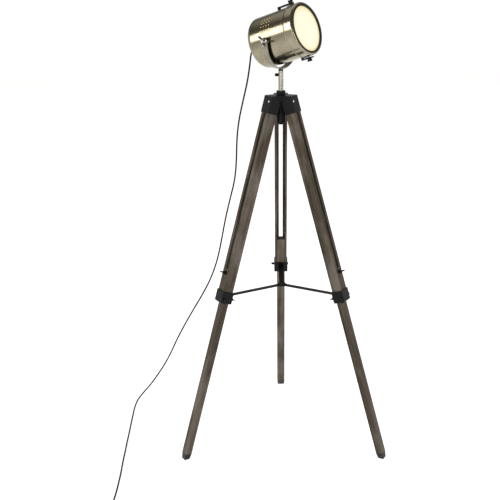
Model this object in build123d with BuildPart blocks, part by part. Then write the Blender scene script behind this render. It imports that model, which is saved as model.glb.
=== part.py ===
from build123d import *
from math import asin, cos, hypot, pi, radians, sin, sqrt, tan
import os

# Telescopic tripod floor lamp with a swivelling studio-spot head.
# Millimetres, +Z up, floor at Z = 0, origin under the middle of the three-foot stance.
# A leg's own frame has its origin where the three leg axes meet, local X square to the leg and
# away from the mast, local Y sideways and local Z down the leg.
# The head's own frame has its origin on the tilt axis, local X along the tilt axis, local Z
# along the barrel towards the lens.

# ---------------------------------------------------------------- driving dimensions
APEX_H = 1270.0           # height where the three leg axes meet on the mast axis
FOOT_R = 382.6            # reach of a leg axis from the mast axis at the floor
BEARINGS = {"left": 210, "right": 330, "back": 90}

RAIL_DEPTH = 33.0         # rail, square to the leg
PAIR_WIDTH = 41.0         # over both rails
SLOT_WIDTH = 13.0         # daylight between the rails' lips
STICK_WIDTH = 28.0        # lower leg, sideways
STICK_DEPTH = 22.0        # lower leg, square to the leg
STICK_INNER = -14.5       # lower leg's inner face, local X
SLIDE_GAP = 0.3           # clearance round the lower leg
RAIL_TOP = 100.0          # stations down the leg
RAIL_END = 769.5
STICK_TOP = 641.0
STICK_END = 1306.0
SPACER_TOP = 662.0
CLAMP_S = 678.0
COLLAR_TOP = 737.0
COLLAR_END = 776.0
COLLAR_FLOOR = 770.0
CROSS_BOLT_S = 761.0
BOLT_HEAD_R = 4.0
COLLAR_WALL = 3.3
LIP_X = 12.1              # middle of the rails' lips, local X
LIP_Y = 13.5              # and local Y
SCREW_SIDES = {210: -1, 330: 1, 90: 1}   # the rail that each leg's socket screw goes into

HUB_WALL = 2.5
LEG_SCREW_BITE = 8.0      # leg screw's depth in the rail's lip
HUB_TOP_Z = 1181.0
HUB_SKIRT_S = 151.5
HUB_CORE_Z = 1094.0
HUB_CORE_R = 15.5
LEG_PIN_S = 115.0
PIN_R = 2.5
FIT = 0.06                # radial clearance of a running fit

MAST_R = 8.0
MAST_BORE_R = 6.06
MAST_LOW_Z = 1089.0
MAST_TOP_Z = 1255.0
BOSS_TOP_Z = 1194.0
BOSS_R = 14.5
NUT_R = 11.5
NUT_H = 6.0
STEM_R = 6.0
STEM_LOW_Z = 1196.0
STEM_NECK_R = 4.0
LOCK_Z = 1243.0

BRACE_Z = 547.0
BRACE_WIDTH = 18.0
BRACE_THICK = 2.5
BRACE_TAB = 24.0
BRACE_SCREW_S = 764.0

TILT_Z = 1352.0           # height of the tilt axis
HEAD_BEARING = -34.5      # where the lens points, seen from above
HEAD_RISE = 17.3          # barrel's rise above level
BARREL_DROP = 4.5         # tilt axis below the barrel's axis
BARREL_R = 79.0
SHEET = 1.5               # sheet metal of the head
BARREL_REAR = -57.0       # stations along the barrel from the tilt axis
BARREL_FRONT = 90.0
CAP_END = -75.0
CAP_SHOULDER = 18.0
GLAND_NECK_R = 6.0
BEAD_R = 1.6
VENT_ANGLES = (35, 145)   # middles of the two vent panels, from the tilt axis
VENT_ROWS = 4
VENT_R = 1.9
VENT_STEP = 10.0
VENT_STEP_DEG = 9.1
VENT_STATION = 1.0
LENS_THICK = 2.5
LENS_RISE = 5.0
HOLDER_END = -24.0
RING_R = 81.5
RING_REAR = 70.0
RING_FRONT = 103.0
RING_CURL = 6.0            # how far the ring's front edge rolls inward
RIM_R = 69.0              # visible edge of the lens
LENS_R = 71.0
LENS_SEAT = 98.5
GLAND_END = -78.5
RELIEF_END = -80.0
GLAND_R = 9.0

YOKE_HALF = 86.0          # mast axis to the inner face of a yoke arm
YOKE_STRAIGHT = 2.0       # arm below the tilt axis before the round bottom starts
YOKE_ABOVE = 11.0
YOKE_THICK = 2.5
YOKE_WIDTH = 20.0
STUD_R = 3.0
STUD_LENGTH = 12.0
WING_DROOP = 70.0         # wings' turn down from the barrel's line

CORD_R = 2.7
COIL_TURN_R = 11 * CORD_R            # middle of the turns
COIL_X, COIL_Y = -560.0, -545.0      # centre of the coil from the mast axis
COIL_PITCH = 5.5
COIL_TURNS = 3
PLUG_Z = 7.4

SPLAY = (FOOT_R / hypot(FOOT_R, APEX_H), APEX_H / hypot(FOOT_R, APEX_H))
SIN_S, COS_S = SPLAY
STICK_OUTER = STICK_INNER + STICK_DEPTH
COLLAR_X = RAIL_DEPTH / 2 + COLLAR_WALL
COLLAR_Y = PAIR_WIDTH / 2 + COLLAR_WALL

# The stance is wider to the back foot than to the front pair, so the mast stands forward of
# the origin by half the difference.
FOOT_REACH = FOOT_R + STICK_OUTER / COS_S
FRONT_REACH = FOOT_REACH * sin(radians(30)) + STICK_WIDTH / 2 * cos(radians(30))
MAST_Y = -(FOOT_REACH - FRONT_REACH) / 2

os.makedirs("parts", exist_ok=True)


def save(piece, name):
    """Labels a finished piece and writes it as one STEP."""
    piece.part.label = name
    export_step(piece.part, f"parts/{name}.step")


def outward(bearing):
    """Level unit vector from the mast towards a bearing."""
    return Vector(cos(radians(bearing)), sin(radians(bearing)), 0)


def leg_plane(bearing, station=0.0):
    """Plane square to a leg at a station: local X outward, local Z down the leg."""
    out = outward(bearing)
    across = out * COS_S + Vector(0, 0, SIN_S)
    down = out * SIN_S - Vector(0, 0, COS_S)
    return Plane(origin=(0, MAST_Y, APEX_H), x_dir=across, z_dir=down).offset(station)


def leg_side_plane(bearing, x, station):
    """Plane with its normal along the leg's local Y, at a point on the leg's middle."""
    base = leg_plane(bearing)
    spot = base.from_local_coords(Vector(x, 0, station))
    return Plane(origin=spot, x_dir=base.x_dir, z_dir=base.y_dir)


def leg_face_plane(bearing, x, station):
    """Plane with its normal along the leg's local X, at a point on the leg's middle."""
    base = leg_plane(bearing)
    spot = base.from_local_coords(Vector(x, 0, station))
    return Plane(origin=spot, x_dir=base.y_dir, z_dir=base.x_dir)


def screw_plane(bearing, x):
    """Plane of the screw that holds a leg in its socket, normal pointing away from the mast."""
    base = leg_plane(bearing)
    spot = base.from_local_coords(Vector(x, SCREW_SIDES[bearing] * LIP_Y, LEG_PIN_S))
    return Plane(origin=spot, x_dir=base.y_dir, z_dir=base.x_dir)


# ---------------------------------------------------------------- tripod: upper legs
def rail(bearing, side):
    """L-section rail. Its lip closes the back of the groove that the lower leg slides in."""
    edge, lip = side * PAIR_WIDTH / 2, side * SLOT_WIDTH / 2
    groove = side * (STICK_WIDTH / 2 + SLIDE_GAP)
    back, shelf = RAIL_DEPTH / 2, STICK_OUTER + SLIDE_GAP
    with BuildPart() as made:
        with BuildSketch(leg_plane(bearing, RAIL_TOP)):
            with BuildLine():
                Polyline(
                    (back, lip), (back, edge), (-back, edge), (-back, groove),
                    (shelf, groove), (shelf, lip), close=True,
                )
            make_face()
        extrude(amount=RAIL_END - RAIL_TOP)
        long_edges = made.edges().filter_by(Axis((0, 0, 0), tuple(leg_plane(bearing).z_dir)))
        local = leg_plane(bearing)
        outer = [e for e in long_edges if abs(local.to_local_coords(e.center()).Y) > abs(edge) - 0.1]
        fillet(outer, radius=1.5)
        with BuildSketch(leg_side_plane(bearing, LIP_X, CROSS_BOLT_S)):
            Circle(PIN_R + FIT)
        extrude(amount=PAIR_WIDTH, both=True, mode=Mode.SUBTRACT)
        if side == SCREW_SIDES[bearing]:
            with BuildSketch(screw_plane(bearing, RAIL_DEPTH / 2)):
                Circle(PIN_R + FIT)
            extrude(amount=-RAIL_DEPTH, mode=Mode.SUBTRACT)
    return made


def spacer(bearing):
    """Block between the rails' lips behind the clamp, with a hole for the clamp screw."""
    low, high = STICK_OUTER + SLIDE_GAP, RAIL_DEPTH / 2
    with BuildPart() as made:
        with BuildSketch(leg_plane(bearing, SPACER_TOP)):
            with Locations(((low + high) / 2, 0)):
                Rectangle(high - low, SLOT_WIDTH)
        extrude(amount=RAIL_END - SPACER_TOP)
        with BuildSketch(leg_face_plane(bearing, LIP_X, CLAMP_S)):
            Circle(PIN_R + FIT)
        extrude(amount=RAIL_DEPTH, both=True, mode=Mode.SUBTRACT)
        with BuildSketch(leg_side_plane(bearing, LIP_X, CROSS_BOLT_S)):
            Circle(PIN_R + FIT)
        extrude(amount=PAIR_WIDTH, both=True, mode=Mode.SUBTRACT)
    return made


def collar(bearing):
    """Moulded collar that ties the rails together and guides the lower leg through its floor."""
    with BuildPart() as made:
        with BuildSketch(leg_plane(bearing, COLLAR_TOP)):
            RectangleRounded(2 * COLLAR_X, 2 * COLLAR_Y, 3.0)
        extrude(amount=COLLAR_END - COLLAR_TOP)
        lower = made.faces().sort_by(Axis((0, 0, 0), tuple(leg_plane(bearing).z_dir)))[-1]
        chamfer(lower.edges(), length=2.4)
        with BuildSketch(leg_plane(bearing, COLLAR_TOP)):
            Rectangle(RAIL_DEPTH + 0.1, PAIR_WIDTH + 0.1)
        extrude(amount=COLLAR_FLOOR - COLLAR_TOP, mode=Mode.SUBTRACT)
        with BuildSketch(leg_plane(bearing, COLLAR_FLOOR)):
            with Locations(((STICK_INNER + STICK_OUTER) / 2, 0)):
                Rectangle(STICK_DEPTH + 2 * SLIDE_GAP, STICK_WIDTH + 2 * SLIDE_GAP)
        extrude(amount=COLLAR_END - COLLAR_FLOOR, mode=Mode.SUBTRACT)
        with BuildSketch(leg_side_plane(bearing, LIP_X, CROSS_BOLT_S)):
            Circle(PIN_R + FIT)
        extrude(amount=PAIR_WIDTH, both=True, mode=Mode.SUBTRACT)
        with BuildSketch(leg_face_plane(bearing, -COLLAR_X, BRACE_SCREW_S)):
            Circle(PIN_R + FIT)
        extrude(amount=2 * COLLAR_WALL, both=True, mode=Mode.SUBTRACT)
    return made


def lower_leg(bearing):
    """Solid stick that slides in the grooves of the rails."""
    with BuildPart() as made:
        with BuildSketch(leg_plane(bearing, STICK_TOP)):
            with Locations(((STICK_INNER + STICK_OUTER) / 2, 0)):
                RectangleRounded(STICK_DEPTH, STICK_WIDTH, 1.2)
        extrude(amount=STICK_END - STICK_TOP)
    return made


def foot_pad(bearing):
    """Tapered rubber pad on the leg's end, cut level with the floor."""
    with BuildPart() as made:
        with BuildSketch(leg_plane(bearing, STICK_END)):
            with Locations(((STICK_INNER + STICK_OUTER) / 2, 0)):
                RectangleRounded(STICK_DEPTH, STICK_WIDTH, 1.2)
        extrude(amount=40.0, taper=7)
        split(bisect_by=Plane.XY, keep=Keep.TOP)
    return made


# ---------------------------------------------------------------- tripod: hub and mast
def make_hub():
    """Casting with three square sockets round a bored core."""
    with BuildPart() as made:
        for bearing in BEARINGS.values():
            with BuildSketch(leg_plane(bearing, RAIL_TOP - 14.0)):
                RectangleRounded(RAIL_DEPTH + 2 * HUB_WALL, PAIR_WIDTH + 2 * HUB_WALL, 2.5)
            extrude(amount=HUB_SKIRT_S - RAIL_TOP + 14.0)
        with BuildSketch(Plane((0, MAST_Y, HUB_CORE_Z))):
            Circle(HUB_CORE_R)
        extrude(amount=HUB_TOP_Z - HUB_CORE_Z)
        for bearing in BEARINGS.values():
            with BuildSketch(leg_plane(bearing, RAIL_TOP)):
                Rectangle(RAIL_DEPTH + 0.1, PAIR_WIDTH + 0.1)
            extrude(amount=HUB_SKIRT_S, mode=Mode.SUBTRACT)
            with BuildSketch(screw_plane(bearing, RAIL_DEPTH / 2)):
                Circle(PIN_R + FIT)
            extrude(amount=2 * HUB_WALL, mode=Mode.SUBTRACT)
        with BuildSketch(Plane((0, MAST_Y, HUB_CORE_Z))):
            Circle(MAST_R + FIT)
        extrude(amount=2 * (HUB_TOP_Z - HUB_CORE_Z), mode=Mode.SUBTRACT)
        with BuildSketch(Plane((0, MAST_Y, HUB_TOP_Z))):
            Circle(4 * HUB_CORE_R)
        extrude(amount=BOSS_R, mode=Mode.SUBTRACT)
    return made


def make_mast():
    """Tube through the hub's core, with a side hole near its top for the lock screw."""
    with BuildPart() as made:
        with BuildSketch(Plane((0, MAST_Y, MAST_LOW_Z))):
            Circle(MAST_R)
        extrude(amount=MAST_TOP_Z - MAST_LOW_Z)
        with BuildSketch(Plane((0, MAST_Y, MAST_LOW_Z))):
            Circle(MAST_BORE_R)
        extrude(amount=MAST_TOP_Z - MAST_LOW_Z, mode=Mode.SUBTRACT)
        with BuildSketch(Plane((0, MAST_Y, LOCK_Z), x_dir=(0, 1, 0), z_dir=(-1, 0, 0))):
            Circle(PIN_R + FIT)
        extrude(amount=2 * MAST_R, mode=Mode.SUBTRACT)
    return made


def make_mast_nut():
    """Nut on the mast below the hub's core."""
    with BuildPart() as made:
        with BuildSketch(Plane((0, MAST_Y, HUB_CORE_Z - NUT_H))):
            RegularPolygon(NUT_R, 6)
            Circle(MAST_R + FIT, mode=Mode.SUBTRACT)
        extrude(amount=NUT_H)
    return made


def make_mast_collar():
    """Locknut on the mast above the hub."""
    with BuildPart() as made:
        with BuildSketch(Plane((0, MAST_Y, HUB_TOP_Z))):
            Circle(BOSS_R)
        extrude(amount=BOSS_TOP_Z - HUB_TOP_Z)
        chamfer(made.faces().sort_by(Axis.Z)[-1].edges(), length=1.5)
        with BuildSketch(Plane((0, MAST_Y, HUB_TOP_Z))):
            Circle(MAST_R + FIT)
        extrude(amount=BOSS_TOP_Z - HUB_TOP_Z, mode=Mode.SUBTRACT)
    return made


def pin_with_heads(plane, low, high, low_head, high_head, head_r):
    """Plain pin along the plane's normal with a round head of its own length at each end."""
    with BuildPart() as made:
        with BuildSketch(plane.offset(low)):
            Circle(PIN_R)
        extrude(amount=high - low)
        with BuildSketch(plane.offset(high)):
            Circle(head_r)
        extrude(amount=high_head)
        chamfer(made.faces().sort_by(Axis((0, 0, 0), tuple(plane.z_dir)))[-1].edges(), length=0.7)
        with BuildSketch(plane.offset(low)):
            Circle(head_r)
        extrude(amount=-low_head)
        chamfer(made.faces().sort_by(Axis((0, 0, 0), tuple(plane.z_dir)))[0].edges(), length=0.7)
    return made


def round_knob(plane, radius, length, screw_r, screw_length):
    """Plain round knob on a screw. The plane's normal points out of the knob's end."""
    with BuildPart() as made:
        with BuildSketch(plane):
            Circle(radius)
        extrude(amount=length)
        chamfer(made.edges().filter_by(GeomType.CIRCLE), length=0.8)
        with BuildSketch(plane):
            Circle(screw_r)
        extrude(amount=-screw_length)
    return made


def leg_screw(bearing):
    """Domed screw through a socket's wall into the rail's lip."""
    face = screw_plane(bearing, RAIL_DEPTH / 2 + HUB_WALL)
    with BuildPart() as made:
        with BuildSketch(face):
            Circle(4.0)
        extrude(amount=2.2)
        top = made.faces().sort_by(Axis((0, 0, 0), tuple(face.z_dir)))[-1]
        fillet(top.edges(), radius=1.6)
        with BuildSketch(face):
            Circle(PIN_R)
        extrude(amount=-HUB_WALL - LEG_SCREW_BITE)
    return made


def thumb_knob(plane, hub_r, hub_h, wing_w, wing_h, wing_t, screw_r, screw_length):
    """Wing knob on a screw. The plane's normal points out of the knob's end."""
    blade = Plane(plane.origin, x_dir=plane.x_dir, z_dir=plane.y_dir)
    with BuildPart() as made:
        with BuildSketch(plane):
            Circle(hub_r)
        extrude(amount=hub_h)
        chamfer(made.faces().sort_by(Axis((0, 0, 0), tuple(plane.z_dir)))[-1].edges(), length=0.8)
        with BuildSketch(blade):
            with BuildLine():
                Polyline(
                    (-hub_r * 0.6, -hub_h * 0.3), (-wing_w, -hub_h * 0.7), (-wing_w, -wing_h),
                    (-wing_w * 0.72, -wing_h), (0, -hub_h * 0.95), (wing_w * 0.72, -wing_h),
                    (wing_w, -wing_h), (wing_w, -hub_h * 0.7), (hub_r * 0.6, -hub_h * 0.3), close=True,
                )
            make_face()
        extrude(amount=wing_t / 2, both=True)
        with BuildSketch(plane):
            Circle(screw_r)
        extrude(amount=-screw_length)
    return made


# ---------------------------------------------------------------- tripod: brace
def brace_arm(bearing):
    """Flat strip from the mast's line to a collar, pointed to meet its neighbours, with a bent tab."""
    out = outward(bearing)
    half = BRACE_WIDTH / 2
    tab_face = -COLLAR_X
    corner_s = (APEX_H + tab_face * SIN_S - BRACE_Z) / COS_S
    reach = corner_s * SIN_S + tab_face * COS_S - BRACE_THICK / 2
    flat = Plane((0, MAST_Y, BRACE_Z - BRACE_THICK / 2), x_dir=tuple(out), z_dir=(0, 0, 1))
    with BuildPart() as made:
        with BuildSketch(flat):
            with BuildLine():
                Polyline(
                    (0, 0), (half / tan(radians(60)), half), (reach, half),
                    (reach, -half), (half / tan(radians(60)), -half), close=True,
                )
            make_face()
        extrude(amount=BRACE_THICK)
        with BuildSketch(leg_plane(bearing, corner_s - 1.6)):
            with Locations((tab_face - BRACE_THICK / 2, 0)):
                Rectangle(BRACE_THICK, BRACE_WIDTH)
        extrude(amount=BRACE_TAB)
        with BuildSketch(flat):
            Circle(4.0)
        extrude(amount=BRACE_THICK, mode=Mode.SUBTRACT)
        with BuildSketch(leg_face_plane(bearing, tab_face, BRACE_SCREW_S)):
            Circle(PIN_R + FIT)
        extrude(amount=2 * BRACE_THICK, both=True, mode=Mode.SUBTRACT)
    return made


def make_brace_hub():
    """Rivet with two broad heads that holds the three arms together."""
    low, high = BRACE_Z - BRACE_THICK / 2, BRACE_Z + BRACE_THICK / 2
    with BuildPart() as made:
        for base, radius, height in ((low - 2.0, 14.0, 2.0), (low, 4.0 - FIT, BRACE_THICK), (high, 14.0, 2.0)):
            with BuildSketch(Plane((0, MAST_Y, base))):
                Circle(radius)
            extrude(amount=height)
    return made


# ---------------------------------------------------------------- yoke
def make_yoke():
    """Flat strip bent to a U round the barrel, with eyes for the tilt studs."""
    tilt_dir = head_plane().x_dir
    upright = Plane((0, MAST_Y, TILT_Z), x_dir=tuple(tilt_dir), z_dir=tuple(tilt_dir.cross(Vector(0, 0, 1))))
    wide = YOKE_HALF + YOKE_THICK
    with BuildPart() as made:
        with BuildSketch(upright):
            with BuildLine():
                Polyline((-YOKE_HALF, -YOKE_STRAIGHT), (-YOKE_HALF, YOKE_ABOVE), (-wide, YOKE_ABOVE),
                         (-wide, -YOKE_STRAIGHT))
                ThreePointArc((-wide, -YOKE_STRAIGHT), (0, -YOKE_STRAIGHT - wide), (wide, -YOKE_STRAIGHT))
                Polyline((wide, -YOKE_STRAIGHT), (wide, YOKE_ABOVE), (YOKE_HALF, YOKE_ABOVE),
                         (YOKE_HALF, -YOKE_STRAIGHT))
                ThreePointArc((YOKE_HALF, -YOKE_STRAIGHT), (0, -YOKE_STRAIGHT - YOKE_HALF),
                              (-YOKE_HALF, -YOKE_STRAIGHT))
            make_face()
        extrude(amount=YOKE_WIDTH / 2, both=True)
        ends = [e for e in made.edges() if e.length < 2 * YOKE_THICK and e.center().Z > TILT_Z + YOKE_ABOVE - 1]
        fillet(ends, radius=YOKE_WIDTH / 2 - 0.5)
        with BuildSketch(Plane((0, MAST_Y, TILT_Z), x_dir=(0, 0, 1), z_dir=tuple(tilt_dir))):
            Circle(STUD_R + FIT)
        extrude(amount=2 * wide, both=True, mode=Mode.SUBTRACT)
        with BuildSketch(Plane((0, MAST_Y, STEM_LOW_Z))):
            Circle(STEM_NECK_R + FIT)
        extrude(amount=TILT_Z - STEM_LOW_Z, mode=Mode.SUBTRACT)
    return made


def make_stem():
    """Stem that turns in the mast, with its shoulder nut under the yoke and a riveted head above."""
    under = TILT_Z - YOKE_STRAIGHT - YOKE_HALF - YOKE_THICK - 0.35
    with BuildPart() as made:
        with BuildSketch(Plane((0, MAST_Y, STEM_LOW_Z))):
            Circle(STEM_R)
        extrude(amount=under - STEM_LOW_Z)
        with BuildSketch(Plane((0, MAST_Y, MAST_TOP_Z))):
            Circle(7.4)
        extrude(amount=under - MAST_TOP_Z)
        with BuildSketch(Plane((0, MAST_Y, under))):
            Circle(STEM_NECK_R)
        extrude(amount=YOKE_THICK + 0.7)
        with BuildSketch(Plane((0, MAST_Y, under + YOKE_THICK + 0.7))):
            Circle(6.5)
        extrude(amount=1.6)
    return made


# ---------------------------------------------------------------- head
def head_plane():
    """Head frame: origin on the tilt axis, X along it, Z along the barrel towards the lens."""
    rise = radians(HEAD_RISE)
    level = outward(HEAD_BEARING)
    ahead = level * cos(rise) + Vector(0, 0, sin(rise))
    tilt = outward(HEAD_BEARING + 90)
    return Plane(origin=(0, MAST_Y, TILT_Z), x_dir=tuple(tilt), z_dir=tuple(ahead))


def barrel_plane(station=0.0):
    """Plane square to the barrel at a station, centred on the barrel's axis."""
    base = head_plane()
    spot = base.from_local_coords(Vector(0, BARREL_DROP, station))
    return Plane(origin=spot, x_dir=base.x_dir, z_dir=base.z_dir)


def section_plane():
    """Half-plane through the barrel's axis: X is the radius, Y is the station."""
    base = barrel_plane()
    return Plane(origin=base.origin, x_dir=base.x_dir, z_dir=tuple(base.y_dir * -1))


def barrel_axis():
    base = barrel_plane()
    return Axis(tuple(base.origin), tuple(base.z_dir))


def radial_plane(angle, station, radius=0.0):
    """Plane whose normal points out of the barrel at an angle from the tilt axis."""
    base = barrel_plane(station)
    out = base.x_dir * cos(radians(angle)) + base.y_dir * sin(radians(angle))
    return Plane(origin=tuple(base.origin + out * radius), x_dir=tuple(base.z_dir), z_dir=tuple(out))


def turned(points):
    """Solid of revolution about the barrel's axis from a closed outline of (radius, station)."""
    with BuildPart() as made:
        with BuildSketch(section_plane()):
            with BuildLine():
                Polyline(*points, close=True)
            make_face()
        revolve(axis=barrel_axis())
    return made


def make_barrel():
    """Rolled tube with two panels of vent holes, high on both sides."""
    with BuildPart() as made:
        with BuildSketch(barrel_plane(BARREL_REAR)):
            Circle(BARREL_R)
            Circle(BARREL_R - SHEET, mode=Mode.SUBTRACT)
        extrude(amount=BARREL_FRONT - BARREL_REAR)
        for middle in VENT_ANGLES:
            for row in range(VENT_ROWS):
                for column in range(VENT_ROWS):
                    angle = middle + (row - (VENT_ROWS - 1) / 2) * VENT_STEP_DEG
                    station = VENT_STATION + (column - (VENT_ROWS - 1) / 2) * VENT_STEP
                    with BuildSketch(radial_plane(angle, station, BARREL_R - 3 * SHEET)):
                        Circle(VENT_R)
                    extrude(amount=6 * SHEET, mode=Mode.SUBTRACT)
    return made


def make_rear_cap():
    """Pressed cap with a broad rounded shoulder and a hole for the cord gland."""
    mid = CAP_SHOULDER * sqrt(0.5)
    flat_r = BARREL_R - CAP_SHOULDER
    inner = CAP_SHOULDER - SHEET
    mid_in = inner * sqrt(0.5)
    with BuildPart() as made:
        with BuildSketch(section_plane()):
            with BuildLine():
                ThreePointArc((BARREL_R, BARREL_REAR), (flat_r + mid, BARREL_REAR - mid), (flat_r, CAP_END))
                Polyline((flat_r, CAP_END), (GLAND_NECK_R, CAP_END), (GLAND_NECK_R, CAP_END + SHEET),
                         (flat_r, CAP_END + SHEET))
                ThreePointArc((flat_r, CAP_END + SHEET), (flat_r + mid_in, BARREL_REAR - mid_in),
                              (BARREL_R - SHEET, BARREL_REAR))
                Line((BARREL_R - SHEET, BARREL_REAR), (BARREL_R, BARREL_REAR))
            make_face()
        revolve(axis=barrel_axis())
    return made


def make_front_ring():
    """Spun ring over the barrel's front: a rolled bead behind and an edge that curls in before."""
    curl = RING_CURL * sqrt(0.5)
    wall = RING_R - BARREL_R
    curl_in = (RING_CURL - wall) * sqrt(0.5)
    middle = (RING_R - RING_CURL, RING_FRONT - RING_CURL)
    with BuildPart() as made:
        with BuildSketch(section_plane()):
            with BuildLine():
                Line((RING_R, RING_REAR), (RING_R, middle[1]))
                ThreePointArc((RING_R, middle[1]), (middle[0] + curl, middle[1] + curl), (middle[0], RING_FRONT))
                Line((middle[0], RING_FRONT), (middle[0], RING_FRONT - wall))
                ThreePointArc(
                    (middle[0], RING_FRONT - wall), (middle[0] + curl_in, middle[1] + curl_in),
                    (BARREL_R, middle[1]),
                )
                Polyline((BARREL_R, middle[1]), (BARREL_R, RING_REAR), (RING_R, RING_REAR))
            make_face()
            with Locations((RING_R, RING_REAR + BEAD_R)):
                Circle(BEAD_R)
        revolve(axis=barrel_axis())
    return made


def dome_middle(edge, rise, rim):
    """Point halfway along a dome's arc that is level on the axis and meets the rim's radius."""
    radius = (edge ** 2 + rise ** 2) / (2 * rise)
    half = asin(edge / radius) / 2
    return (radius * sin(half), rim + rise - radius + radius * cos(half))


def make_lens():
    """Frosted glass, slightly domed, with a flat edge held in the gasket's groove."""
    back, front = LENS_SEAT - LENS_THICK, LENS_SEAT
    edge = LENS_R - 3.0
    with BuildPart() as made:
        with BuildSketch(section_plane()):
            with BuildLine():
                Line((0, back + LENS_RISE), (0, front + LENS_RISE))
                ThreePointArc((0, front + LENS_RISE), dome_middle(edge, LENS_RISE, front), (edge, front))
                Polyline((edge, front), (LENS_R, front), (LENS_R, back), (edge, back))
                ThreePointArc((edge, back), dome_middle(edge, LENS_RISE, back), (0, back + LENS_RISE))
            make_face()
        revolve(axis=barrel_axis())
    return made


def make_reflector():
    """Spun bowl inside the barrel; its rim sits against the barrel's wall behind the lens."""
    with BuildPart() as made:
        with BuildSketch(section_plane()):
            with BuildLine():
                Polyline((72.0, 86.0), (BARREL_R - SHEET - 0.05, 86.0), (BARREL_R - SHEET - 0.05, 87.0), (71.5, 87.0))
                ThreePointArc((71.5, 87.0), (53.0, 24.0), (22.5, -28.0))
                Line((22.5, -28.0), (23.5, -28.5))
                ThreePointArc((23.5, -28.5), (54.0, 23.5), (72.0, 86.0))
            make_face()
        revolve(axis=barrel_axis())
    return made


def make_bulb():
    """Round lamp with its screw cap in the holder."""
    with BuildPart() as made:
        with BuildSketch(section_plane()):
            with BuildLine():
                Polyline((0, HOLDER_END), (13.0, HOLDER_END), (13.0, HOLDER_END + 8.0))
                Spline((13.0, HOLDER_END + 8.0), (30.0, HOLDER_END + 43.0), (0, HOLDER_END + 76.0),
                       tangents=((0.2, 1), (-1, 0)))
                Line((0, HOLDER_END + 76.0), (0, HOLDER_END))
            make_face()
        revolve(axis=barrel_axis())
    return made


def make_gland():
    """Gland with a neck through the cap and the stiff first part of the strain relief."""
    return turned((
        (0, CAP_END + SHEET), (GLAND_NECK_R - 0.05, CAP_END + SHEET), (GLAND_NECK_R - 0.05, CAP_END),
        (GLAND_R, CAP_END), (GLAND_R, GLAND_END + 1.5), (GLAND_R - 1.5, GLAND_END),
        (5.2, GLAND_END), (5.0, RELIEF_END), (0, RELIEF_END),
    ))


def make_bracket(angle, rear, front, knob, lift, thick):
    """Strip that stands off the barrel on its rear foot and is held by a thumb knob in front."""
    side = radial_plane(angle, 0.0)
    profile = Plane(side.origin, x_dir=side.x_dir, z_dir=tuple(side.x_dir.cross(side.z_dir)))
    way = profile.y_dir.dot(side.z_dir)
    top = BARREL_R + lift
    with BuildPart() as made:
        with BuildSketch(profile):
            with BuildLine():
                Polyline(
                    (rear, way * (BARREL_R - 3.0)), (rear, way * top), (front, way * top),
                    (front, way * (top - thick)), (rear + thick, way * (top - thick)),
                    (rear + thick, way * (BARREL_R - 3.0)), close=True,
                )
            make_face()
        extrude(amount=5.5, both=True)
        with BuildSketch(radial_plane(angle, knob, BARREL_R - 2.0)):
            Circle(2.0)
        extrude(amount=top - BARREL_R + 2.0)
        with BuildSketch(radial_plane(angle, knob, top)):
            Circle(6.0)
        extrude(amount=6.5)
        with BuildSketch(radial_plane(angle, knob, top + 2.0)):
            Rectangle(16.0, 3.0)
        extrude(amount=6.5)
        with BuildSketch(barrel_plane(-10.0)):
            Circle(BARREL_R)
        extrude(amount=2 * RING_REAR, mode=Mode.SUBTRACT)
        with BuildSketch(barrel_plane(RING_REAR - 1.0)):
            Circle(RING_R + BEAD_R)
        extrude(amount=4.5, mode=Mode.SUBTRACT)
        with BuildSketch(barrel_plane(RING_REAR - 1.0)):
            Circle(RING_R)
        extrude(amount=60.0, mode=Mode.SUBTRACT)
    return made


def make_stud(side):
    """Boss shaped to the barrel, with the threaded stud that the head tilts on."""
    base = head_plane()
    out = Plane(base.origin, x_dir=base.z_dir, z_dir=tuple(base.x_dir * side))
    with BuildPart() as made:
        with BuildSketch(out.offset(BARREL_R - 12.0)):
            Circle(9.0)
        extrude(amount=YOKE_HALF - BARREL_R + 12.0 - 0.8)
        with BuildSketch(barrel_plane(-40.0)):
            Circle(BARREL_R)
        extrude(amount=80.0, mode=Mode.SUBTRACT)
        with BuildSketch(out.offset(YOKE_HALF - 0.8)):
            Circle(STUD_R + 1.0)
        extrude(amount=0.7)
        with BuildSketch(out.offset(YOKE_HALF - 0.1)):
            Circle(STUD_R)
        extrude(amount=STUD_LENGTH)
    return made


def make_wing_nut(side):
    """Wing nut on a tilt stud: a hub with a blind hole and two raised wings."""
    base = head_plane()
    face = YOKE_HALF + YOKE_THICK
    wings = base.z_dir * cos(radians(WING_DROOP)) - base.y_dir * sin(radians(WING_DROOP))
    out = Plane(base.origin, x_dir=tuple(wings), z_dir=tuple(base.x_dir * side))
    blade = Plane(out.offset(face).origin, x_dir=out.x_dir, z_dir=out.y_dir)
    with BuildPart() as made:
        with BuildSketch(out.offset(face)):
            Circle(9.5)
        extrude(amount=4.0)
        with BuildSketch(out.offset(face + 4.0)):
            Circle(7.0)
        extrude(amount=10.0, taper=12)
        with BuildSketch(blade):
            with BuildLine():
                Polyline(
                    (-4.0, -5.0), (-15.0, -9.0), (-18.5, -15.0), (-18.0, -22.0), (-14.0, -23.0), (0, -11.0),
                    (14.0, -23.0), (18.0, -22.0), (18.5, -15.0), (15.0, -9.0), (4.0, -5.0), close=True,
                )
            make_face()
        extrude(amount=1.9, both=True)
        with BuildSketch(out.offset(face)):
            Circle(STUD_R + FIT)
        extrude(amount=STUD_LENGTH - YOKE_THICK + 0.3, mode=Mode.SUBTRACT)
    return made


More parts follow.
